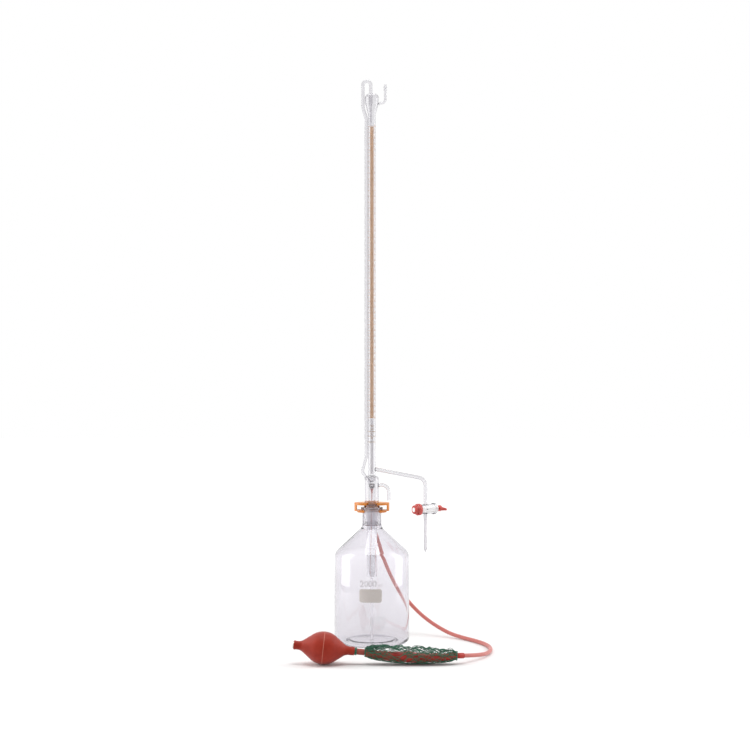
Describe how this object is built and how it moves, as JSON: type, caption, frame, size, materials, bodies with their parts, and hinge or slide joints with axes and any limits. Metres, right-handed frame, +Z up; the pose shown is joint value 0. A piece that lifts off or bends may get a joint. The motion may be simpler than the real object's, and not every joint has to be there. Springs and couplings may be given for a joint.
{
  "type": "automatic zero burette",
  "caption": "Glass burette with automatic zero on a reservoir bottle, side stopcock with winged key, and rubber hand bellows.",
  "frame": {"origin": "centre of the reservoir bottle's foot, on the bench, on the axis of the bottle and measuring tube", "axes": "+Z up along the measuring tube, +X towards the side arm and stopcock, bellows at -Y in front"},
  "size_m": [0.3463, 0.3065, 1.0262],
  "materials": {
    "clear_glass": "fire polished borosilicate glass",
    "ptfe": "turned white fluoropolymer",
    "seal_rubber": "moulded black rubber",
    "red_plastic": "moulded, half gloss",
    "orange_plastic": "moulded acetal, satin",
    "red_rubber": "moulded and extruded natural rubber, matt",
    "bladder_rubber": "dipped rubber skin",
    "net_cord": "knitted dark green thread",
    "valve_metal": "nickel plated brass",
    "connector_plastic": "moulded hard plastic"
  },
  "bodies": {
    "bottle": {"reservoir_bottle": "clear_glass"},
    "burette": {"joint_adapter": "clear_glass", "cone_skirt": "clear_glass", "burette_tube": "clear_glass", "feed_tube": "clear_glass", "overflow_jet": "clear_glass", "dip_tube": "clear_glass", "vent_arm": "clear_glass", "side_arm": "clear_glass", "stopcock_barrel": "clear_glass", "delivery_tip": "clear_glass", "release_tube": "clear_glass", "hose_nozzle": "clear_glass", "air_hose": "red_rubber", "hose_cuff": "red_rubber", "hand_bulb": "red_rubber", "balloon_bladder": "bladder_rubber", "balloon_net": "net_cord", "net_tie_left": "net_cord", "net_tie_right": "net_cord", "connector_tie": "net_cord", "intake_valve": "valve_metal", "bellows_connector": "connector_plastic"},
    "clip": {"joint_clip": "orange_plastic"},
    "key": {"stopcock_key": "ptfe", "key_handle": "red_plastic", "key_oring": "seal_rubber"},
    "washer": {"key_washer": "ptfe"},
    "nut": {"retaining_nut": "red_plastic"},
    "intake_valve_ball": {"intake_ball": "valve_metal"},
    "outlet_valve_ball": {"outlet_ball": "valve_metal"}
  },
  "joints": [
    {"name": "burette_turn", "type": "hinge", "parent": "bottle", "child": "burette", "pos_m": [0, 0, 0.246], "axis": [0, 0, 1], "continuous": true},
    {"name": "clip_turn", "type": "hinge", "parent": "bottle", "child": "clip", "pos_m": [0, 0, 0.246], "axis": [0, 0, 1], "continuous": true},
    {"name": "stopcock_turn", "type": "hinge", "parent": "burette", "child": "key", "pos_m": [0.0976, 0, 0.2422], "axis": [0.848, 0.5299, 0], "continuous": true},
    {"name": "washer_slide", "type": "slide", "parent": "key", "child": "washer", "axis": [-0.848, -0.5299, 0], "range_m": [0, 0.00151]},
    {"name": "nut_turn", "type": "hinge", "parent": "washer", "child": "nut", "pos_m": [0.0976, 0, 0.2422], "axis": [-0.848, -0.5299, 0], "range_deg": [0, 360]},
    {"name": "intake_ball_lift", "type": "slide", "parent": "burette", "child": "intake_valve_ball", "axis": [0.9945, 0, -0.1045], "range_m": [0, 0.0012]},
    {"name": "outlet_ball_lift", "type": "slide", "parent": "burette", "child": "outlet_valve_ball", "axis": [0.9945, 0, -0.1045], "range_m": [0, 0.0012]}
  ],
  "couplings": [
    {"joint": "washer_slide", "follows": "nut_turn", "m_per_rad": 0.00023873}
  ]
}
